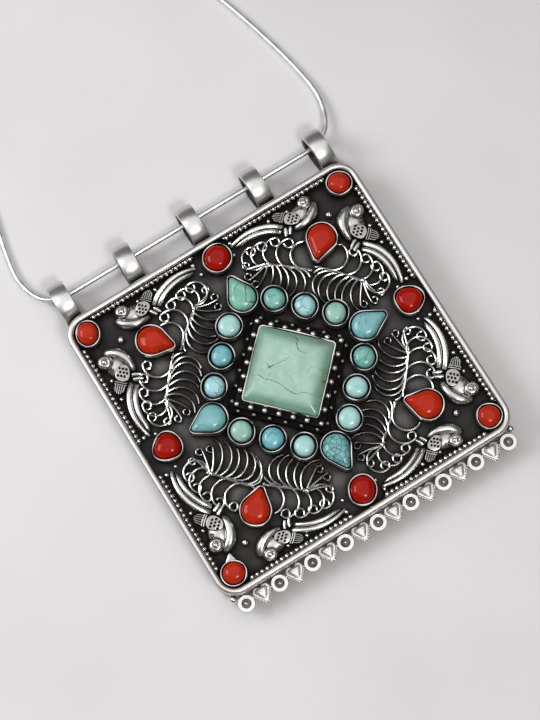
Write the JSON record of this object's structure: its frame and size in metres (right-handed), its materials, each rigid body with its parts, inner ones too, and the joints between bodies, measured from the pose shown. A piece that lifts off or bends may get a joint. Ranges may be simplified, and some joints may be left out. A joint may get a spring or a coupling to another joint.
{
  "type": "amulet box pendant",
  "caption": "Square silver amulet box pendant with a sliding back, coral and turquoise in bezels, filigree and birds, a fringe, and a snake chain through its bails.",
  "frame": {"origin": "Centre of the pendant's outline on its back face, halfway between the tips of the fringe and the tops of the bails", "axes": "+X to the wearer's left as seen from the front, the way the back panel slides out; +Y up to the bails; +Z out of the front"},
  "size_m": [0.1059, 0.1551, 0.013],
  "materials": {
    "silver": "worn bright silver, dark in the recesses",
    "oxidised_silver": "blackened silver",
    "chain_silver": "polished silver",
    "coral": "polished opaque coral",
    "turquoise": "polished opaque turquoise",
    "green_turquoise": "polished opaque green turquoise with dark veins"
  },
  "bodies": {
    "case": {"back_frame": "silver", "bail_1": "silver", "bail_2": "silver", "bail_3": "silver", "bail_4": "silver", "bail_5": "silver", "bird_bottom_a": "silver", "bird_bottom_b": "silver", "bird_left_a": "silver", "bird_left_b": "silver", "bird_right_a": "silver", "bird_right_b": "silver", "bird_top_a": "silver", "bird_top_b": "silver", "border_bottom": "silver", "border_left": "silver", "border_right": "silver", "border_top": "silver", "case_wall": "silver", "centre_base": "oxidised_silver", "centre_bezel": "silver", "centre_granules": "silver", "centre_turquoise": "green_turquoise", "chain_eye": "chain_silver", "chain_hook": "chain_silver", "chain_left": "chain_silver", "chain_left_coil": "chain_silver", "chain_middle": "chain_silver", "chain_right": "chain_silver", "chain_right_coil": "chain_silver", "coral_drop_bezels": "silver", "coral_drops": "coral", "corner_coral_bezels": "silver", "corner_corals": "coral", "corner_granules": "silver", "fringe_domes": "silver", "fringe_end_beads": "silver", "fringe_hearts": "silver", "fringe_rings": "silver", "ground_plate": "oxidised_silver", "heart_granules": "silver", "panel_guide_bottom": "oxidised_silver", "panel_guide_top": "oxidised_silver", "panel_stop": "oxidised_silver", "plume_bottom_a": "silver", "plume_bottom_b": "silver", "plume_left_a": "silver", "plume_left_b": "silver", "plume_right_a": "silver", "plume_right_b": "silver", "plume_top_a": "silver", "plume_top_b": "silver", "rim_wire": "silver", "round_bezels": "silver", "round_turquoises": "turquoise", "side_coral_bezels": "silver", "side_corals": "coral", "turquoise_drop_bezels": "silver", "turquoise_drops": "turquoise"},
    "panel": {"back_panel": "silver"}
  },
  "joints": [
    {"name": "panel_slide", "type": "slide", "parent": "case", "child": "panel", "axis": [1, 0, 0], "range_m": [0, 0.062]}
  ]
}
